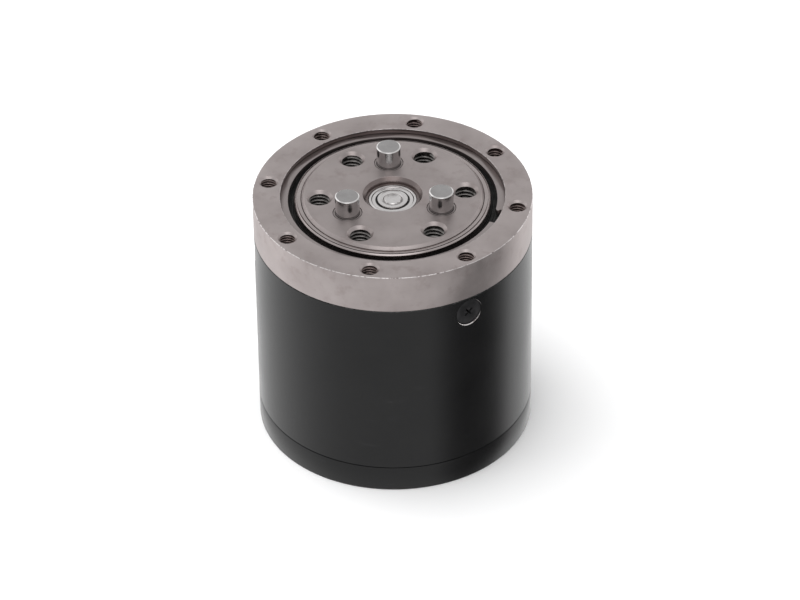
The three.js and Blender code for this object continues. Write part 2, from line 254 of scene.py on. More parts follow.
def thread(name, minor, major, pitch, top, turns, steps):
    """A solid screw with a 60 degree thread that ends at the given height, to cut a tapped hole."""
    rows = [(0, minor), (0.22 * pitch, minor), (0.56 * pitch, major), (0.68 * pitch, major)]
    base = top - (turns + 1) * pitch
    levels = turns * len(rows)
    verts = [(0, 0, base - pitch), (0, 0, top + pitch)]
    for i in range(steps):
        turn = TAU * i / steps
        for level in range(levels + 1):
            whole, part = divmod(level, len(rows))
            height, radius = rows[part]
            z = base + pitch * (whole + i / steps) + height
            verts.append((radius * math.cos(turn), radius * math.sin(turn), z))

    def at(i, level):
        """Vertex index; past the last step the helix joins the first one a turn higher."""
        return 2 + i % steps * (levels + 1) + level + (len(rows) if i == steps else 0)

    faces = []
    for i in range(steps):
        reach_up = levels - (len(rows) if i == steps - 1 else 0)
        faces += [
            (at(i, j), at(i + 1, j), at(i + 1, j + 1), at(i, j + 1)) for j in range(reach_up)
        ]
        faces.append((0, at(i + 1, 0), at(i, 0)))
        faces.append((1, at(i, reach_up), at(i + 1, reach_up)))
    faces += [(0, at(0, j), at(0, j + 1)) for j in range(len(rows))]
    last = levels - len(rows)
    faces += [(1, at(steps - 1, last + j + 1), at(steps - 1, last + j)) for j in range(len(rows))]
    return new_object(name, verts, faces)


def shade(thing):
    """Smooth shading, with sharp edges where two faces meet at more than SHARP."""
    made = bmesh.new()
    made.from_mesh(thing.data)
    bmesh.ops.dissolve_degenerate(made, edges=made.edges, dist=1e-8)
    for face in made.faces:
        face.smooth = True
    for edge in made.edges:
        if len(edge.link_faces) == 2:
            edge.smooth = edge.calc_face_angle(0) < SHARP
    made.to_mesh(thing.data)
    made.free()


def finish(thing, node, body, slot, *materials):
    """A finished piece stands for its CAD node and rides on that node's body."""
    thing.name = f"{node}_fine"
    thing.data.name = thing.name
    thing.data.materials.clear()
    for material in materials:
        thing.data.materials.append(material)
    mark(thing, lambda centre: True, 0)
    shade(thing)
    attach(thing, body)
    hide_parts(node)
    return thing


def mark(thing, test, index):
    """Gives the faces whose centre passes the test another material."""
    for face in thing.data.polygons:
        if test(face.center):
            face.material_index = index


def near_holes(circle, radius, angles, mouth):
    """A test for points in holes on a circle, below the 45 degree countersinks at their mouths."""
    centres = [Vector((circle * math.cos(rad(a)), circle * math.sin(rad(a)))) for a in angles]

    def test(p):
        away = min((p.xy - c).length for c in centres)
        return away < radius and away + FACE - p.z > mouth + 0.02 * mm

    return test


# ---- Gear outlines ----

SUN, PLANET = 12, 18
RING = SUN + 2 * PLANET
MODULE = 2 * PIN_CIRCLE / (SUN + PLANET)
PRESSURE = rad(25)
ADDENDUM, DEDENDUM = 0.9 * MODULE, 1.1 * MODULE
BACKLASH = 0.06 * mm


def involute(angle):
    return math.tan(angle) - angle


def gear_outline(teeth, root, tip, thinning, steps=7):
    """An involute outline with a tooth centred on +X, as (x, y) points."""
    pitch = MODULE * teeth / 2
    base = pitch * math.cos(PRESSURE)
    half_tooth = math.pi / (2 * teeth) - thinning / (2 * pitch)

    def half_angle(radius):
        slope = math.acos(min(1, base / radius))
        return half_tooth + involute(PRESSURE) - involute(slope)

    flank = [root + (tip - root) * i / steps for i in range(steps + 1)]
    points = []
    for tooth in range(teeth):
        middle = TAU * tooth / teeth
        side = [(r, middle - half_angle(r)) for r in flank]
        side += [(r, middle + half_angle(r)) for r in reversed(flank)]
        points += [(r * math.cos(a), r * math.sin(a)) for r, a in side]
    return points


def sun_turn(phase):
    return (math.pi * (PLANET - 1) + rad(phase) * (SUN + RING)) / SUN


def planet_turn(phase, degrees):
    lag = math.pi + (sun_turn(phase) - rad(degrees)) * SUN
    return rad(degrees) + math.pi - lag / PLANET


def external_gear(name, teeth, base, top):
    """A spur gear whose blank was turned with chamfered ends before its teeth were cut."""
    pitch = MODULE * teeth / 2
    tip, root = pitch + ADDENDUM, pitch - DEDENDUM
    gear = prism(name, gear_outline(teeth, root, tip, BACKLASH), base, top)
    edge, over = 0.3 * mm, 0.02 * mm
    blank = [(0, base), (tip - edge, base), (tip + over, base + edge + over),
             (tip + over, top - edge - over), (tip - edge, top), (0, top)]
    return boolean(gear, lathe("blank", blank, MEDIUM), "INTERSECT")


# ---- Materials ----

class Shader:
    """A material's node tree, with short calls to add and join its nodes."""

    def __init__(self, name):
        self.material = bpy.data.materials.new(name)
        self.material.use_nodes = True
        self.tree = self.material.node_tree
        self.bsdf = self.tree.nodes["Principled BSDF"]
        self.coords = self.add("ShaderNodeTexCoord").outputs["Object"]
        split = self.add("ShaderNodeSeparateXYZ")
        self.join(self.coords, split.inputs[0])
        self.x, self.y, self.z = split.outputs

    def add(self, kind, **settings):
        node = self.tree.nodes.new(kind)
        for key, value in settings.items():
            setattr(node, key, value)
        return node

    def join(self, source, target):
        self.tree.links.new(source, target)

    def put(self, socket, value):
        """Sets a socket to a number or colour, or links it to another socket."""
        if isinstance(value, bpy.types.NodeSocket):
            self.join(value, socket)
        else:
            socket.default_value = value

    def math(self, operation, *values, clamp=False):
        node = self.add("ShaderNodeMath", operation=operation, use_clamp=clamp)
        for socket, value in zip(node.inputs, values):
            self.put(socket, value)
        return node.outputs[0]

    def length(self, first, second):
        """Length of the vector with these two parts."""
        squares = [self.math("MULTIPLY", part, part) for part in (first, second)]
        return self.math("SQRT", self.math("ADD", *squares))

    def radius(self):
        """Distance from the main axis."""
        return self.length(self.x, self.y)

    def vector(self, *parts):
        node = self.add("ShaderNodeCombineXYZ")
        for socket, value in zip(node.inputs, parts):
            self.put(socket, value)
        return node.outputs[0]

    def noise(self, scale, detail=2.0, roughness=0.5, vector=None, stretch=None):
        node = self.add("ShaderNodeTexNoise")
        source = vector or self.coords
        if stretch:
            mapping = self.add("ShaderNodeMapping")
            mapping.inputs["Scale"].default_value = stretch
            self.join(source, mapping.inputs["Vector"])
            source = mapping.outputs[0]
        self.join(source, node.inputs["Vector"])
        node.inputs["Scale"].default_value = scale
        node.inputs["Detail"].default_value = detail
        node.inputs["Roughness"].default_value = roughness
        return node.outputs["Fac"]

    def spread(self, value, low_in, high_in, low_out, high_out):
        """Maps a value from one range to another, clamped."""
        node = self.add("ShaderNodeMapRange", clamp=True)
        for socket, number in zip(node.inputs, (value, low_in, high_in, low_out, high_out)):
            self.put(socket, number)
        return node.outputs[0]

    def mix(self, share, first, second):
        node = self.add("ShaderNodeMix", data_type="RGBA")
        self.put(node.inputs["Factor"], share)
        self.put(node.inputs[6], first)
        self.put(node.inputs[7], second)
        return node.outputs[2]

    def bump(self, height, strength, distance, under=None):
        node = self.add("ShaderNodeBump")
        node.inputs["Strength"].default_value = strength
        node.inputs["Distance"].default_value = distance
        self.join(height, node.inputs["Height"])
        if under:
            self.join(under, node.inputs["Normal"])
        return node.outputs[0]

    def edges(self, places, width):
        """1 on the round edges at the given (radius, height) places, broken up by noise."""
        radius = self.radius()
        rough = self.spread(self.noise(900, 3), 0.42, 0.68, 0.05, 1.4)
        total = None
        for place_radius, place_height in places:
            across = self.math("SUBTRACT", radius, place_radius)
            up = self.math("SUBTRACT", self.z, place_height)
            worn = self.math("MULTIPLY", rough, width)
            away = self.math("DIVIDE", self.length(across, up), worn)
            mask = self.spread(away, 0.4, 1.0, 1.0, 0.0)
            total = mask if total is None else self.math("MAXIMUM", total, mask)
        return total

    def surface(self, **values):
        names = {"color": "Base Color", "metallic": "Metallic", "roughness": "Roughness",
                 "normal": "Normal", "specular": "Specular IOR Level"}
        for key, value in values.items():
            self.put(self.bsdf.inputs[names[key]], value)
        return self.material


def gray(level, warm=0.0):
    return (level * (1 + warm), level, level * (1 - 0.15 * warm), 1)


def turned_steel(name, level, warm, roughness, edges=(), contrast=0.09, grain=1.0):
    """Steel turned about the main axis: ring marks, stains, fine grain, bright wear on given edges."""
    s = Shader(name)
    rings = s.noise(9000, 2, 0.6, vector=s.vector(s.radius(), s.z, 0.0))
    mottle = s.noise(160, 3, 0.55)
    stains = s.spread(s.noise(420, 4, 0.6), 0.54, 0.72, 0.0, 1.0)
    grit = s.noise(5200, 2, 0.6)
    tone = s.math("ADD", s.spread(mottle, 0.3, 0.7, -contrast, contrast),
                  s.spread(rings, 0.3, 0.7, -0.03, 0.03))
    share = s.math("ADD", tone, 0.5, clamp=True)
    color = s.mix(share, gray(level * 0.55, warm * 1.3), gray(level * 1.45, warm * 0.7))
    color = s.mix(s.math("MULTIPLY", stains, contrast * 2.2), color, gray(level * 0.45, warm * 2.4))
    rough = s.math("ADD", s.spread(mottle, 0.3, 0.7, roughness - 0.05, roughness + 0.05),
                   s.spread(grit, 0.3, 0.7, -0.03, 0.03))
    if edges:
        worn = s.edges(edges, 0.11 * mm)
        color = s.mix(worn, color, gray(min(0.9, level * 1.5), warm * 0.3))
        rough = s.math("SUBTRACT", rough, s.math("MULTIPLY", worn, 0.1))
    fine = s.bump(grit, 0.18 * grain, 0.006 * mm)
    normal = s.bump(rings, 0.22 * grain, 0.005 * mm, under=fine)
    return s.surface(color=color, metallic=1.0, roughness=rough, normal=normal)


def nicked_steel(name, light, dark):
    """A machined edge, burnished bright between small dark nicks."""
    s = Shader(name)
    nicks = s.noise(1900, 3, 0.7)
    color = s.mix(s.spread(nicks, 0.38, 0.52, 0.0, 1.0), gray(dark, 0.2), gray(light, 0.05))
    rough = s.spread(nicks, 0.3, 0.7, 0.4, 0.2)
    return s.surface(color=color, metallic=1.0, roughness=rough, normal=s.bump(nicks, 0.3, 0.01 * mm))


def ground_steel(name, level, roughness):
    """Ground along the part: fine lines round it, a little colour change."""
    s = Shader(name)
    lines = s.noise(1, 2, 0.6, stretch=(300, 300, 9000))
    mottle = s.noise(420, 2)
    share = s.math("ADD", s.spread(mottle, 0.3, 0.7, -0.12, 0.12), s.spread(lines, 0.3, 0.7, 0.42, 0.58))
    color = s.mix(share, gray(level * 0.7, 0.05), gray(level * 1.3, 0.01))
    rough = s.spread(lines, 0.3, 0.7, roughness - 0.04, roughness + 0.05)
    return s.surface(color=color, metallic=1.0, roughness=rough, normal=s.bump(lines, 0.25, 0.004 * mm))


def tapped_steel_painted_shade(name, dark, light):
    """The inside of a tapped hole, coloured darker than the face as painted shade, with a mottle for traces
    of cutting oil.
    """
    s = Shader(name)
    stain = s.noise(1300, 3, 0.6)
    color = s.mix(s.spread(stain, 0.3, 0.7, 0.15, 0.85), dark, light)
    rough = s.spread(stain, 0.3, 0.7, 0.24, 0.36)
    return s.surface(color=color, metallic=1.0, roughness=rough, normal=s.bump(stain, 0.1, 0.005 * mm))


def anodised(name, edges):
    """Black anodised aluminium, blasted fine, with a few faint scuffs."""
    s = Shader(name)
    grit = s.noise(7000, 2, 0.6)
    cloud = s.noise(90, 3)
    scuffs = s.spread(s.noise(1, 3, 0.7, stretch=(160, 160, 900)), 0.66, 0.74, 0.0, 1.0)
    dark, light = (0.0034, 0.0034, 0.0037, 1), (0.0055, 0.0054, 0.0058, 1)
    base = s.mix(s.spread(cloud, 0.3, 0.7, 0.0, 1.0), dark, light)
    color = s.mix(s.math("MULTIPLY", scuffs, 0.25), base, (0.04, 0.04, 0.042, 1))
    worn = s.edges(edges, 0.16 * mm)
    color = s.mix(s.math("MULTIPLY", worn, 0.35), color, (0.12, 0.12, 0.125, 1))
    rough = s.math("ADD", s.spread(cloud, 0.3, 0.7, 0.19, 0.25), s.spread(grit, 0.3, 0.7, -0.03, 0.03))
    normal = s.bump(grit, 0.12, 0.004 * mm)
    return s.surface(color=color, roughness=rough, normal=normal, specular=0.42)


def black_oxide(name):
    s = Shader(name)
    grit = s.noise(4200, 2, 0.6)
    cloud = s.noise(700, 2)
    dark, light = (0.010, 0.010, 0.011, 1), (0.026, 0.025, 0.027, 1)
    color = s.mix(s.spread(cloud, 0.35, 0.65, 0.0, 1.0), dark, light)
    rough = s.spread(grit, 0.3, 0.7, 0.30, 0.44)
    return s.surface(color=color, metallic=0.35, roughness=rough, normal=s.bump(grit, 0.2, 0.005 * mm))


def moulded_rubber(name):
    s = Shader(name)
    grit = s.noise(3000, 3, 0.6)
    dust = s.spread(s.noise(500, 2), 0.45, 0.75, 0.0, 1.0)
    color = s.mix(dust, (0.006, 0.006, 0.006, 1), (0.016, 0.0155, 0.015, 1))
    rough = s.spread(grit, 0.3, 0.7, 0.48, 0.62)
    return s.surface(color=color, roughness=rough, normal=s.bump(grit, 0.3, 0.01 * mm), specular=0.35)


def sintered_bronze(name):
    s = Shader(name)
    pores = s.noise(5200, 3, 0.7)
    color = s.mix(s.spread(pores, 0.35, 0.6, 0.0, 1.0), (0.17, 0.095, 0.035, 1), (0.47, 0.29, 0.12, 1))
    rough = s.spread(pores, 0.3, 0.7, 0.5, 0.28)
    return s.surface(color=color, metallic=1.0, roughness=rough, normal=s.bump(pores, 0.3, 0.008 * mm))


STEEL, WARM = 0.46, 0.14
FLANGE_STEEL = turned_steel("flange steel", STEEL, WARM, 0.42, contrast=0.14)
CARRIER_STEEL = turned_steel("carrier steel", STEEL * 0.92, WARM, 0.40, contrast=0.12)
RING_STEEL = turned_steel("ring steel", STEEL * 0.8, WARM, 0.36, contrast=0.07)
SLEEVE_STEEL = turned_steel("sleeve steel", STEEL, WARM, 0.24, edges=[(SLEEVE, SLEEVE_TOP)], contrast=0.08)
BEARING_STEEL = turned_steel("bearing steel", 0.84, 0.03, 0.18, contrast=0.04, grain=0.6)
PIN_STEEL = ground_steel("pin steel", 0.46, 0.17)
# Painted shade: a darker copy of the turned steel for the flange's recessed bore wall.
BORE_PAINTED_SHADE_STEEL = turned_steel("bore steel painted shade", 0.20, 0.2, 0.34, contrast=0.12)
# Painted shade: a darker copy of the turned steel for the recessed mouth round the centre bearing.
MOUTH_PAINTED_SHADE_STEEL = turned_steel("mouth steel painted shade", 0.20, 0.22, 0.30, contrast=0.12)
EDGE_STEEL = nicked_steel("edge steel", 0.92, 0.2)
BALL_STEEL = ground_steel("ball steel", 0.75, 0.08)
GEAR_STEEL = ground_steel("gear steel", 0.36, 0.3)
# Painted shade: the threads inside the tapped holes are coloured darker than the faces round them.
M3_HOLE_PAINTED_SHADE = tapped_steel_painted_shade("m3 hole steel painted shade", (0.07, 0.048, 0.044, 1), (0.40, 0.32, 0.305, 1))
M4_HOLE_PAINTED_SHADE = tapped_steel_painted_shade("m4 hole steel painted shade", (0.06, 0.056, 0.052, 1), (0.38, 0.36, 0.35, 1))
SLEEVE_BLACK = anodised("black anodised", [(BODY, FLANGE_BASE), (BODY, 0.0)])
SCREW_BLACK = black_oxide("black oxide")
SEAL_RUBBER = moulded_rubber("seal rubber")
BUSH_BRONZE = sintered_bronze("sintered bronze")


# ---- Housing ----

def tap_cutters(name, minor, major, pitch, mouth, depth, top, turns, steps):
    """A threaded cutter and the countersunk drill before it, both on the main axis."""
    sink, over = mouth - minor, 0.4 * mm
    screw = thread(name, minor, major, pitch, top - 0.8 * sink, turns, steps)
    wall = minor + 0.01 * mm
    drill = [(0, top - depth), (wall, top - depth + 0.5 * wall), (wall, top - sink),
             (mouth + over, top + over), (0, top + over)]
    return screw, lathe("drill", drill, MEDIUM)


def output_flange():
    edge = 0.12 * mm
    rim, lip = 0.09 * mm, 0.05 * mm  # the top edges outside and round the bore
    play = 0.06 * mm
    outline = rounded([
        (THROAT, low("output_flange")),
        (SPIGOT, low("output_flange"), edge),
        (SPIGOT, FLANGE_BASE),
        (BODY - edge, FLANGE_BASE),
        (BODY, FLANGE_BASE + edge),
        (BODY, FACE, rim),
        (BORE, FACE, lip),
        (BORE, SNAP_TOP + play),
        (GROOVE, SNAP_TOP + play),
        (GROOVE, SNAP_BASE - play),
        (BORE, SNAP_BASE - play),
        (BORE, SEAT_BASE),
        (THROAT, SEAT_BASE),
    ], 3)
    flange = lathe("flange", outline, FINE)
    circle, angles = 20.75 * mm, ring_angles(8)
    screw, drill = tap_cutters("m3", *M3, M3_MOUTH, 5.4 * mm, FACE, 8, 48)
    boolean(flange, ringed("drills", drill, 8, circle))
    boolean(flange, ringed("screws", screw, 8, circle))
    boolean(flange, radial_cutter(1.3 * mm))
    finish(flange, "output_flange", "housing", "satin_steel", FLANGE_STEEL, M3_HOLE_PAINTED_SHADE, BORE_PAINTED_SHADE_STEEL, EDGE_STEEL)
    # Painted shade inside the M3 holes, below their countersinks.
    mark(flange, near_holes(circle, M3_INSIDE, angles, M3_MOUTH), 1)
    # Painted shade: the bore wall above the seal gets the darker steel.
    mark(flange, lambda p: p.xy.length < BORE + 0.01 * mm and SEAL_TOP < p.z < FACE - lip, 2)
    mark(flange, lambda p: p.xy.length < BORE + lip and p.z > FACE - lip, 3)
    mark(flange, lambda p: p.xy.length > BODY - rim and p.z > FACE - rim, 3)
    mark(flange, lambda p: p.xy.length > BODY - edge and p.z < FLANGE_BASE + edge, 3)


def radial_cutter(radius):
    """The three radial screws' straight holes."""
    hole = rod("radial hole", radius, 17.4 * mm, 24 * mm, SMALL)
    hole = moved(hole, Matrix.Translation((0, 0, RADIAL_HEIGHT)) @ Matrix.Rotation(TAU / 4, 4, "Y"))
    return ringed("radial holes", hole, 3, 0, RADIAL_PHASE)


def housing_sleeve():
    edge = 0.12 * mm
    outline = [
        (WALL, SEAM), (BODY - 0.04 * mm, SEAM), (BODY, SEAM + 0.04 * mm),
        (BODY, FLANGE_BASE - edge), (BODY - edge, FLANGE_BASE), (WALL, FLANGE_BASE),
    ]
    sleeve = lathe("sleeve", outline, FINE)
    head, over = 2.38 * mm, 0.6 * mm
    seat = [(0, 20 * mm), (1.32 * mm, 20 * mm), (1.32 * mm, 21.7 * mm), (head, 22.76 * mm),
            (head, RADIAL_RIM), (head + over, RADIAL_RIM + over), (0, RADIAL_RIM + over)]
    seat = lathe("screw seat", seat, MEDIUM)
    moved(seat, Matrix.Translation((0, 0, RADIAL_HEIGHT)) @ Matrix.Rotation(TAU / 4, 4, "Y"))
    boolean(sleeve, ringed("screw seats", seat, 3, 0, RADIAL_PHASE))
    finish(sleeve, "housing_sleeve", "housing", "black_anodised", SLEEVE_BLACK, EDGE_STEEL)
    mark(sleeve, rim_of_radial_holes(head), 1)


def rim_of_radial_holes(radius):
    """A test for the chamfers round the radial screws' heads."""
    turns = [Matrix.Rotation(-rad(a), 3, "Z") for a in ring_angles(3, RADIAL_PHASE)]

    def test(p):
        for turn in turns:
            across = turn @ p - Vector((0, 0, RADIAL_HEIGHT))
            away = math.hypot(across.y, across.z)
            if across.x > RADIAL_RIM and radius < away < radius + 0.13 * mm:
                return across.x - RADIAL_RIM < away - radius + 0.02 * mm
        return False

    return test


def cross_recess(face, size, depth):
    """Two crossed tapered slots that open at the given height."""
    wings = []
    for turn in (0, TAU / 4):
        half, floor = 0.14 * size, 0.3 * size
        verts = [(side * floor, lip * half * 0.6, face - depth) for side in (-1, 1) for lip in (-1, 1)]
        verts += [(side * size, lip * half, face + depth) for side in (-1, 1) for lip in (-1, 1)]
        faces = [(0, 2, 3, 1), (4, 5, 7, 6), (0, 1, 5, 4), (2, 6, 7, 3), (0, 4, 6, 2), (1, 3, 7, 5)]
        wing = new_object("wing", verts, faces)
        wings.append(moved(wing, Matrix.Rotation(turn, 4, "Z")))
    return boolean(wings[0], wings[1], "UNION")


def flat_head_screw(name, radius, head, face, head_depth, tip, recess):
    """A countersunk screw with its face at the given height, pointing down."""
    corners = [(0, tip), (radius - 0.2 * mm, tip), (radius, tip + 0.3 * mm),
               (radius, face - head_depth, 0.05 * mm), (head, face - 0.12 * mm, 0.05 * mm),
               (head, face, 0.08 * mm), (0, face)]
    screw = lathe(name, rounded(corners, 2), SMALL)
    return boolean(screw, cross_recess(face, recess, 1.1 * mm))


def radial_screws():
    for i, degrees in enumerate(ring_angles(3, RADIAL_PHASE)):
        screw = flat_head_screw("screw", 1.25 * mm, 2.3 * mm, 22.8 * mm, 1.1 * mm, 17.7 * mm, 1.35 * mm)
        moved(screw, Matrix.Rotation(rad(38), 4, "Z"))
        outward = Matrix.Translation((0, 0, RADIAL_HEIGHT)) @ Matrix.Rotation(TAU / 4, 4, "Y")
        moved(screw, Matrix.Rotation(rad(degrees), 4, "Z") @ outward)
        finish(screw, f"radial_screw_{i + 1}", "housing", "black_screw", SCREW_BLACK)


def motor_adapter():
    """The end cover, with a fine relief cut round it where it meets the sleeve."""
    relief = 0.13 * mm
    pilot, pilot_top = 11 * mm, 2 * mm
    spigot_top, boss_top = 7 * mm, high("motor_adapter")
    seat, seat_base, lip = 8 * mm, low("input_bearing_outer_race") - 0.08 * mm, 6.8 * mm
    adapter = lathe("adapter", rounded([
        (pilot, 0, 0.2 * mm),
        (BODY, 0, 0.18 * mm),
        (BODY, SEAM - relief, 0.04 * mm),
        (BODY - 2 * relief, SEAM - relief),
        (BODY - 2 * relief, SEAM),
        (SPIGOT, SEAM),
        (SPIGOT, spigot_top, 0.2 * mm),
        (10 * mm, spigot_top),
        (10 * mm, boss_top, 0.2 * mm),
        (seat, boss_top, 0.1 * mm),
        (seat, seat_base),
        (lip, seat_base),
        (lip, pilot_top, 0.15 * mm),
        (pilot, pilot_top),
    ], 3), FINE)
    motor_tap = thread("m3", *M3, 8.5 * mm, 18, 40)
    boolean(adapter, ringed("motor taps", motor_tap, 4, 16 * mm, 45))
    sink = lathe("sink", [(0, -0.4 * mm), (1.98 * mm, -0.4 * mm), (0, 1.58 * mm)], SMALL)
    boolean(adapter, ringed("motor sinks", sink, 4, 16 * mm, 45))
    seat_outline = [(0, -0.5 * mm), (2.9 * mm, -0.5 * mm), (2.9 * mm, 0.2 * mm),
                    (1.45 * mm, 1.65 * mm), (1.45 * mm, 8 * mm), (0, 8 * mm)]
    boolean(adapter, ringed("screw seats", lathe("seat", seat_outline, SMALL), 4, 18 * mm))
    finish(adapter, "motor_adapter", "housing", "black_anodised", SLEEVE_BLACK)


def adapter_screws():
    for i, degrees in enumerate(ring_angles(4)):
        top = high("adapter_screw_1")
        screw = flat_head_screw("screw", 1.3 * mm, 2.75 * mm, -0.1 * mm, 1.5 * mm, -top, 1.5 * mm)
        moved(screw, Matrix.Rotation(math.pi, 4, "X"))
        moved(screw, spot(18 * mm, degrees, rad(20)))
        finish(screw, f"adapter_screw_{i + 1}", "housing", "black_screw", SCREW_BLACK)


def retaining_ring():
    """A flat open ring; the end on the gap's far side has a small hook for pliers."""
    inner, outer = THROAT, 18.8 * mm
    start, end = -1.1, 346.9
    steps = FINE
    angles = [rad(start + (end - start) * i / steps) for i in range(steps + 1)]
    outline = [(outer * math.cos(a), outer * math.sin(a)) for a in angles]
    outline += [(inner * math.cos(a), inner * math.sin(a)) for a in reversed(angles)]
    hook = [(17.45 * mm, rad(start - 0.9)), (17.75 * mm, rad(start - 1.1)), (18.0 * mm, rad(start))]
    outline += [(r * math.cos(a), r * math.sin(a)) for r, a in hook]
    ring = prism("ring", outline, SNAP_BASE, SNAP_TOP)
    soften = ring.modifiers.new("edge", "BEVEL")
    soften.width, soften.segments, soften.angle_limit = 0.07 * mm, 2, rad(50)
    ring.data = bpy.data.meshes.new_from_object(
        ring.evaluated_get(bpy.context.evaluated_depsgraph_get()))
    ring.modifiers.clear()
    finish(ring, "retaining_ring", "housing", "satin_steel", RING_STEEL)


def output_seal():
    """A lip seal: a flat rim under the ring, a shallow channel with a rib, and the lip."""
    outline = rounded([
        (18.44 * mm, SEAL_BASE, 0.1 * mm),
        (18.44 * mm, SEAL_TOP, 0.1 * mm),
        (17.5 * mm, SEAL_TOP, 0.12 * mm),
        (17.3 * mm, SEAL_TOP - 0.28 * mm, 0.08 * mm),
        (16.92 * mm, SEAL_TOP - 0.28 * mm, 0.05 * mm),
        (16.86 * mm, SEAL_TOP - 0.16 * mm, 0.04 * mm),
        (16.72 * mm, SEAL_TOP - 0.16 * mm, 0.04 * mm),
        (16.66 * mm, SEAL_TOP - 0.32 * mm, 0.05 * mm),
        (16.42 * mm, SEAL_TOP - 0.34 * mm, 0.08 * mm),
        (16.30 * mm, SEAL_TOP - 0.06 * mm, 0.05 * mm),
        (16.16 * mm, SEAL_TOP - 0.06 * mm, 0.05 * mm),
        (16.16 * mm, SEAL_TOP - 0.7 * mm),
        (16.7 * mm, SEAL_TOP - 0.9 * mm),
        (16.7 * mm, SEAL_BASE),
    ], 3)
    finish(lathe("seal", outline, FINE), "output_seal", "housing", "seal_rubber", SEAL_RUBBER)


def ring_gear():
    base, top = low("ring_gear"), high("ring_gear")
    pitch = MODULE * RING / 2
    gear = tube("ring gear", 10 * mm, SPIGOT, base, top, FINE, 0.2 * mm)
    hollow = gear_outline(RING, pitch - ADDENDUM, pitch + DEDENDUM, -BACKLASH, 5)
    boolean(gear, prism("hollow", hollow, base - mm, top + mm))
    hole = rod("hole", 1.35 * mm, base - mm, high("adapter_screw_1") + 0.2 * mm, SMALL)
    boolean(gear, ringed("holes", hole, 4, 18 * mm))
    finish(gear, "ring_gear", "housing", "gear_steel", GEAR_STEEL)


# ---- Output carrier and what turns with it ----

def output_carrier():
    mouth, chamfer = 4.4 * mm, 0.55 * mm
    seat_base = low("centre_bearing_outer_race") - 0.08 * mm
    seat_top = high("centre_bearing_outer_race")
    block = lathe("carrier", rounded([
        (2.4 * mm, CARRIER_BASE),
        (SHOULDER, CARRIER_BASE, 0.2 * mm),
        (SHOULDER, SEAT_BASE, 0.1 * mm),
        (CARRIER, SEAT_BASE),
        (CARRIER, FACE - 0.45 * mm, 0.05 * mm),
        (CARRIER - 0.45 * mm, FACE, 0.08 * mm),
        (mouth + chamfer, FACE, 0.1 * mm),
        (mouth, FACE - chamfer, 0.06 * mm),
        (mouth, seat_top),
        (4.0 * mm, seat_top, 0.05 * mm),
        (4.0 * mm, seat_base),
        (2.4 * mm, seat_base),
    ], 3), FINE)
    post_base = high("carrier_rear_plate") + 0.08 * mm
    post = rod("post", 2.3 * mm, post_base, CARRIER_BASE + mm, SMALL)
    boolean(block, ringed("posts", post, 3, POST_CIRCLE, INPUT_PHASE), "UNION")
    angles = ring_angles(6, TAP_PHASE)
    circle = 12 * mm
    screw, drill = tap_cutters("m4", *M4, M4_MOUTH, 7.9 * mm, FACE, 9, 56)
    boolean(block, ringed("drills", drill, 6, circle, TAP_PHASE))
    boolean(block, ringed("screws", screw, 6, circle, TAP_PHASE))
    fit = PIN + 0.03 * mm
    seat = [(0, CARRIER_BASE - mm), (fit, CARRIER_BASE - mm), (fit, POCKET_FLOOR), (POCKET, POCKET_FLOOR),
            (POCKET, FACE - 0.03 * mm), (POCKET + 0.4 * mm, FACE + 0.37 * mm), (0, FACE + 0.37 * mm)]
    boolean(block, ringed("pockets", lathe("pocket", seat, MEDIUM), 3, PIN_CIRCLE, PIN_PHASE))
    hole = rod("hole", 1.1 * mm, post_base - mm, high("rear_plate_screw_1") + 0.2 * mm, SMALL)
    boolean(block, ringed("holes", hole, 3, POST_CIRCLE, INPUT_PHASE))
    finish(block, "output_carrier", "output_carrier", "satin_steel", CARRIER_STEEL, M4_HOLE_PAINTED_SHADE, MOUTH_PAINTED_SHADE_STEEL)
    # Painted shade inside the M4 holes, below their countersinks.
    mark(block, near_holes(circle, M4_INSIDE, angles, M4_MOUTH), 1)
    # Painted shade: the mouth and its chamfer round the centre bearing get the darker steel.
    mark(block, lambda p: p.xy.length < mouth + chamfer and seat_base < p.z < FACE - 0.04 * mm, 2)


def rear_plate():
    base, top = low("carrier_rear_plate"), high("carrier_rear_plate")
    plate = tube("plate", 4.36 * mm, 13.2 * mm, base, top, MEDIUM, 0.15 * mm)
    hole = rod("hole", PIN + 0.03 * mm, base - mm, top + mm, SMALL)
    boolean(plate, ringed("holes", hole, 3, PIN_CIRCLE, PIN_PHASE))
    seat = [(0, base - mm), (2.1 * mm, base - mm), (2.1 * mm, base + 0.1 * mm),
            (1.15 * mm, base + 1.05 * mm), (1.15 * mm, top + mm), (0, top + mm)]
    boolean(plate, ringed("seats", lathe("seat", seat, SMALL), 3, POST_CIRCLE, INPUT_PHASE))
    finish(plate, "carrier_rear_plate", "output_carrier", "satin_steel", RING_STEEL)


def output_pins():
    """Ground dowels with a bright chamfer round the top."""
    base, top = low("output_pin_1"), high("output_pin_1")
    slope, inset = 0.12 * mm, 0.2 * mm
    corners = [
        (0, base),
        (PIN, base, 0.2 * mm),
        (PIN, top - slope, 0.06 * mm),
        (PIN - inset, top, 0.08 * mm),
        (0, top),
    ]
    for i, degrees in enumerate(ring_angles(3, PIN_PHASE)):
        pin = moved(lathe("pin", rounded(corners, 5), MEDIUM), spot(PIN_CIRCLE, degrees))
        finish(pin, f"output_pin_{i + 1}", "output_carrier", "ground_steel", PIN_STEEL, BEARING_STEEL)
        axis = spot(PIN_CIRCLE, degrees).translation.xy
        reach_in = PIN - inset + 0.01 * mm
        mark(pin, lambda p: p.z > top - slope - 0.01 * mm and (p.xy - axis).length > reach_in, 1)


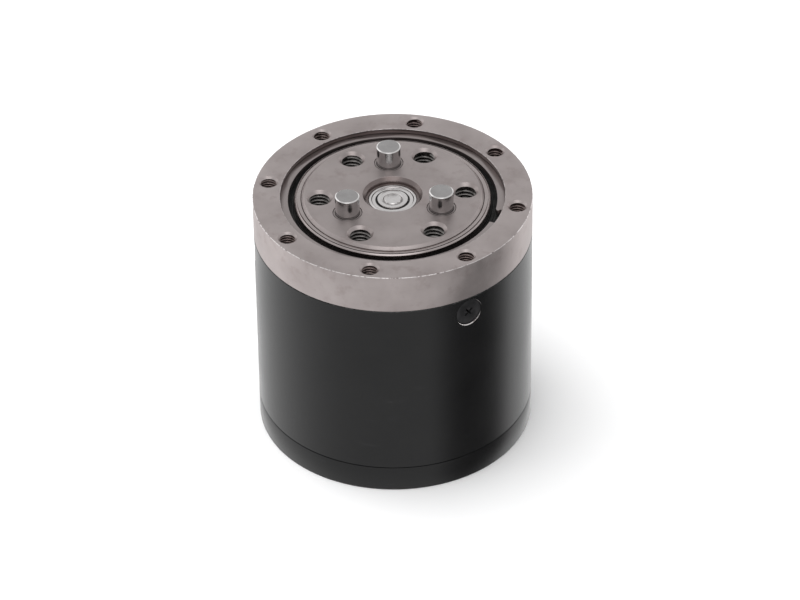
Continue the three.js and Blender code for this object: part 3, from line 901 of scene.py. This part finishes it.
def pin_collars():
    base, top = low("pin_collar_1"), high("pin_collar_1")
    for i, degrees in enumerate(ring_angles(3, PIN_PHASE)):
        collar = tube("collar", PIN + 0.08 * mm, COLLAR, base, top, MEDIUM, 0.03 * mm)
        moved(collar, spot(PIN_CIRCLE, degrees))
        finish(collar, f"pin_collar_{i + 1}", "output_carrier", "ground_steel", RING_STEEL)


def input_pins():
    base, top = low("input_pin_1"), high("input_pin_1")
    radius, edge = 1.5 * mm, 0.1 * mm
    corners = [(0, base), (radius, base, edge), (radius, top, edge), (0, top)]
    for i, degrees in enumerate(ring_angles(3, INPUT_PHASE)):
        pin = moved(lathe("pin", rounded(corners, 3), SMALL), spot(PIN_CIRCLE, degrees))
        finish(pin, f"input_pin_{i + 1}", "middle_carrier", "ground_steel", PIN_STEEL)


def rear_plate_screws():
    base, top = low("rear_plate_screw_1"), high("rear_plate_screw_1")
    for i, degrees in enumerate(ring_angles(3, INPUT_PHASE)):
        screw = flat_head_screw("screw", 1 * mm, 1.9 * mm, -base, 0.9 * mm, -top, 0.9 * mm)
        moved(screw, Matrix.Rotation(math.pi, 4, "X"))
        moved(screw, spot(POST_CIRCLE, degrees))
        finish(screw, f"rear_plate_screw_{i + 1}", "output_carrier", "black_screw", SCREW_BLACK)


def seal_sleeve():
    """The ring the seal runs on, with a fine groove turned in its top."""
    base, top = low("seal_sleeve"), SLEEVE_TOP
    groove = 15.78 * mm
    sleeve = lathe("sleeve", rounded([
        (15.08 * mm, base),
        (SLEEVE, base, 0.1 * mm),
        (SLEEVE, top - 0.22 * mm, 0.05 * mm),
        (SLEEVE - 0.2 * mm, top, 0.05 * mm),
        (groove + 0.09 * mm, top),
        (groove + 0.06 * mm, top - 0.3 * mm),
        (groove - 0.06 * mm, top - 0.3 * mm),
        (groove - 0.09 * mm, top),
        (15.08 * mm, top, 0.1 * mm),
    ], 3), FINE)
    finish(sleeve, "seal_sleeve", "output_carrier", "satin_steel", SLEEVE_STEEL)


def bearing_shield():
    """A pressed steel disc snapped into the outer race, with a rubber lip towards the inner race."""
    base, top = low("centre_bearing_shield"), high("centre_bearing_shield")
    disc, lip, rim = 2.83 * mm, 2.54 * mm, 3.40 * mm
    lip_top = top - 0.14 * mm
    shield = lathe("shield", rounded([
        (lip, lip_top - 0.1 * mm),
        (disc, base),
        (rim, base),
        (rim, top, 0.04 * mm),
        (disc, top, 0.05 * mm),
        (disc, lip_top),
        (lip, lip_top),
    ], 3), MEDIUM)
    finish(shield, "centre_bearing_shield", "output_carrier", "bearing_steel", BEARING_STEEL, SEAL_RUBBER)
    mark(shield, lambda p: p.xy.length < disc - 0.01 * mm, 1)


# ---- Bearings ----

def race_pair(prefix, outer_body, inner_body, radii, ball, steps, edge=0.12 * mm):
    """A bearing's two races, each with a ball groove. The radii run outwards from the bore."""
    base, top = low(f"{prefix}_outer_race"), high(f"{prefix}_outer_race")
    inner, inner_wall, outer_wall, outer = radii
    pitch, middle = (inner_wall + outer_wall) / 2, (base + top) / 2
    groove = ball * 1.04
    half = groove * 0.62

    def race(far, near, node, body):
        """far is the side away from the balls."""
        side = 1 if near > far else -1
        depth = math.sqrt(groove * groove - half * half)
        centre = near + side * depth
        sweep = math.degrees(math.atan2(half, depth))
        facing = 180 if side > 0 else 0
        track = arc((centre, middle), groove, facing + side * sweep, facing - side * sweep, 10)
        corners = [(far, base, edge), (near, base, 0.05 * mm), *track,
                   (near, top, 0.05 * mm), (far, top, edge)]
        finish(lathe("race", rounded(corners, 2), steps), node, body, "bearing_steel", BEARING_STEEL)

    race(outer - 0.02 * mm, outer_wall, f"{prefix}_outer_race", outer_body)
    race(inner + 0.02 * mm, inner_wall, f"{prefix}_inner_race", inner_body)
    return pitch, middle


def ball_set(prefix, body, pitch, middle, ball, count, steps):
    """Balls and the pressed cage that spaces them."""
    things = []
    for degrees in ring_angles(count):
        outline = arc((0, middle), ball, -90, 90, 16)
        outline[0], outline[-1] = (0, middle - ball), (0, middle + ball)
        things.append(moved(lathe("ball", outline, 32), spot(pitch, degrees)))
    cage = tube("cage", pitch - ball * 0.4, pitch + ball * 0.4, middle - ball * 0.5,
                middle + ball * 0.5, steps, 0.04 * mm)
    pockets = ringed("pockets", rod("pocket", ball * 1.06, middle - mm, middle + mm, 32), count, pitch)
    boolean(cage, pockets)
    rails = [tube("rail", pitch - ball * 0.4, pitch + ball * 0.4, z, z + ball * 0.12, steps, 0.01 * mm)
             for z in (middle - ball * 1.12, middle + ball)]
    finish(merged("balls", things + [cage] + rails), f"{prefix}_balls", body, "bearing_steel", BALL_STEEL)


def bearings():
    radii = (CARRIER, CARRIER + 0.9 * mm, BORE - 0.9 * mm, BORE)
    main = race_pair("main_bearing", "housing", "output_carrier", radii, 0.8 * mm, FINE)
    ball_set("main_bearing", "main_bearing_cage", *main, 0.8 * mm, 12, MEDIUM)
    radii = (1.5 * mm, 2.5 * mm, 3.5 * mm, 4 * mm)
    centre = race_pair("centre_bearing", "output_carrier", "middle_carrier", radii, 0.45 * mm, MEDIUM,
                       0.22 * mm)
    ball_set("centre_bearing", "centre_bearing_cage", *centre, 0.45 * mm, 7, SMALL)
    radii = (4 * mm, 5.2 * mm, 6.8 * mm, 8 * mm)
    motor = race_pair("input_bearing", "housing", "input_sun", radii, 0.65 * mm, MEDIUM)
    ball_set("input_bearing", "input_bearing_cage", *motor, 0.65 * mm, 7, SMALL)


# ---- Middle carrier, planets and input ----

def middle_carrier():
    base, top = low("middle_carrier"), high("middle_carrier")
    plate = tube("plate", 2.85 * mm, 13.2 * mm, base, top, MEDIUM, 0.15 * mm)
    hole = rod("hole", 1.52 * mm, base - mm, top + mm, SMALL)
    boolean(plate, ringed("holes", hole, 3, PIN_CIRCLE, INPUT_PHASE))
    finish(plate, "middle_carrier", "middle_carrier", "satin_steel", RING_STEEL)


def middle_sun():
    base, top = low("middle_sun_gear"), high("middle_sun_gear")
    gear_base, gear_top = 21.6 * mm, 31 * mm
    gear = external_gear("sun", SUN, gear_base, gear_top)
    moved(gear, Matrix.Rotation(sun_turn(PIN_PHASE), 4, "Z"))
    shaft = lathe("shaft", rounded([
        (0, base), (2.8 * mm, base, 0.1 * mm), (2.8 * mm, gear_base + 0.1 * mm),
        (1.48 * mm, gear_base + 0.1 * mm), (1.48 * mm, top - 0.16 * mm, 0.04 * mm),
        (1.36 * mm, top, 0.04 * mm), (0, top),
    ], 3), MEDIUM)
    boolean(gear, shaft, "UNION")
    finish(gear, "middle_sun_gear", "middle_carrier", "gear_steel", BEARING_STEEL)


def planets(prefix, phase, bore):
    base, top = low(f"{prefix}_1"), high(f"{prefix}_1")
    bush_inner, bush_outer = bore
    for i, degrees in enumerate(ring_angles(3, phase)):
        place = spot(PIN_CIRCLE, degrees)
        twist = Matrix.Rotation(planet_turn(phase, degrees) - rad(degrees), 4, "Z")
        gear = external_gear("planet", PLANET, base, top)
        boolean(gear, rod("bore", bush_outer + 0.02 * mm, base - mm, top + mm, SMALL))
        moved(gear, place @ twist)
        finish(gear, f"{prefix}_{i + 1}", f"{prefix}_{i + 1}", "gear_steel", GEAR_STEEL)
        bush = tube("bush", bush_inner, bush_outer, base, top, SMALL, 0.1 * mm)
        moved(bush, place)
        finish(bush, f"{prefix}_bush_{i + 1}", f"{prefix}_{i + 1}", "bronze", BUSH_BRONZE)


def input_sun():
    base, top = low("input_sun_gear"), high("input_sun_gear")
    hub, collar, hub_top = 3.98 * mm, 4.7 * mm, 9.1 * mm
    seat = high("input_bearing_inner_race") + 0.06 * mm
    gear = external_gear("sun", SUN, hub_top - 0.2 * mm, top)
    moved(gear, Matrix.Rotation(sun_turn(INPUT_PHASE), 4, "Z"))
    shaft = lathe("hub", rounded([
        (0, base), (hub, base, 0.2 * mm), (hub, seat), (collar, seat, 0.1 * mm),
        (collar, hub_top, 0.1 * mm), (0, hub_top),
    ], 3), MEDIUM)
    boolean(gear, shaft, "UNION")
    bore = lathe("bore", [(0, base - mm), (3.7 * mm, base - mm), (2.5 * mm, base + 0.2 * mm),
                          (2.5 * mm, 8.4 * mm), (0, 9 * mm)], SMALL)
    boolean(gear, bore)
    finish(gear, "input_sun_gear", "input_sun", "gear_steel", GEAR_STEEL)


# ---- Stage ----

CAMERA_AZIMUTH, CAMERA_ELEVATION, CAMERA_ROLL = 10.7, 37.41, -0.83
CAMERA_DISTANCE, CAMERA_TARGET = 0.7423, 0.02054
LENS, SHIFT = 199.7, (0.00725, 0.00926)


def camera():
    data = bpy.data.cameras.new("camera")
    data.lens, data.sensor_width = LENS, 36
    data.shift_x, data.shift_y = SHIFT
    data.clip_start, data.clip_end = 0.01, 50
    a, e = rad(CAMERA_AZIMUTH), rad(CAMERA_ELEVATION)
    back = Vector((math.sin(a) * math.cos(e), -math.cos(a) * math.cos(e), math.sin(e)))
    thing = bpy.data.objects.new("camera", data)
    bpy.context.scene.collection.objects.link(thing)
    aim = (-back).to_track_quat("-Z", "Y").to_matrix().to_4x4()
    roll = Matrix.Rotation(rad(CAMERA_ROLL), 4, "Z")
    target = Vector((0, 0, CAMERA_TARGET))
    thing.matrix_world = Matrix.Translation(target + back * CAMERA_DISTANCE) @ aim @ roll
    bpy.context.scene.camera = thing


def area_light(name, azimuth, elevation, distance, size, power, reflected=True):
    """A square soft box that faces the object. Azimuth 0 is the camera's side, positive to its right."""
    data = bpy.data.lights.new(name, "AREA")
    data.shape, data.size, data.energy = "SQUARE", size, power
    thing = bpy.data.objects.new(name, data)
    bpy.context.scene.collection.objects.link(thing)
    a, e = rad(CAMERA_AZIMUTH + azimuth), rad(elevation)
    back = Vector((math.sin(a) * math.cos(e), -math.cos(a) * math.cos(e), math.sin(e)))
    thing.location = Vector((0, 0, FACE / 2)) + back * distance
    thing.rotation_euler = (-back).to_track_quat("-Z", "Y").to_euler()
    thing.visible_glossy = reflected


def world():
    """A white studio: bright on the camera's left, dark low on its right, a soft box high in front."""
    room = bpy.data.worlds.new("studio")
    room.use_nodes = True
    bpy.context.scene.world = room
    tree = room.node_tree
    background = tree.nodes["Background"]
    coords = tree.nodes.new("ShaderNodeTexCoord").outputs["Generated"]

    def towards(azimuth, elevation):
        """Cosine of the angle to a direction; azimuth 0 is the camera's side, positive to its right."""
        a, e = rad(CAMERA_AZIMUTH + azimuth), rad(elevation)
        dot = tree.nodes.new("ShaderNodeVectorMath")
        dot.operation = "DOT_PRODUCT"
        tree.links.new(coords, dot.inputs[0])
        dot.inputs[1].default_value = (math.sin(a) * math.cos(e), -math.cos(a) * math.cos(e), math.sin(e))
        return dot.outputs["Value"]

    def fade(cosine, low_in, high_in, low_out, high_out):
        node = tree.nodes.new("ShaderNodeMapRange")
        node.interpolation_type = "SMOOTHSTEP"
        for socket, value in zip(node.inputs[1:5], (low_in, high_in, low_out, high_out)):
            socket.default_value = value
        tree.links.new(cosine, node.inputs["Value"])
        return node.outputs[0]

    def combine(operation, first, second):
        node = tree.nodes.new("ShaderNodeMath")
        node.operation = operation
        tree.links.new(first, node.inputs[0])
        tree.links.new(second, node.inputs[1])
        return node.outputs[0]

    def lobe(azimuth, elevation, inner, outer, away, at):
        """One value away from a direction and another at it, between two angles."""
        return fade(towards(azimuth, elevation), math.cos(rad(outer)), math.cos(rad(inner)), away, at)

    walls = combine("MULTIPLY", lobe(0, -20, 20, 95, 1.05, 0.70), lobe(72, -30, 4, 38, 1.0, 0.12))
    upper = fade(towards(0, 90), 0.0, 0.5, 1.0, 0.58)
    front_box = lobe(0, 56, 8, 30, 0.0, 0.9)
    strength = combine("ADD", combine("MULTIPLY", walls, upper), front_box)
    tree.links.new(strength, background.inputs["Strength"])
    background.inputs["Color"].default_value = (1, 1, 1, 1)


def floor():
    s = Shader("floor")
    paper = s.noise(60, 2)
    color = s.mix(paper, (0.90, 0.90, 0.905, 1), (0.93, 0.93, 0.93, 1))
    s.surface(color=color, roughness=0.9, specular=0.1)
    size = 6.0
    plane = new_object("floor", [(-size, -size, 0), (size, -size, 0), (size, size, 0), (-size, size, 0)],
                       [(0, 1, 2, 3)])
    plane.data.materials.append(s.material)
    plane.visible_glossy = False


camera()
world()
floor()
area_light("key", -125, 38, 0.5, 0.3, 0.12)
area_light("overhead", -100, 74, 1.2, 1.2, 15, reflected=False)
bpy.context.scene.view_settings.view_transform = "Standard"

output_flange()
housing_sleeve()
radial_screws()
motor_adapter()
adapter_screws()
retaining_ring()
output_seal()
ring_gear()
output_carrier()
rear_plate()
output_pins()
pin_collars()
input_pins()
rear_plate_screws()
seal_sleeve()
bearing_shield()
bearings()
middle_carrier()
middle_sun()
planets("output_planet", PIN_PHASE, (2.05 * mm, 2.75 * mm))
planets("input_planet", INPUT_PHASE, (1.55 * mm, 2.25 * mm))
input_sun()
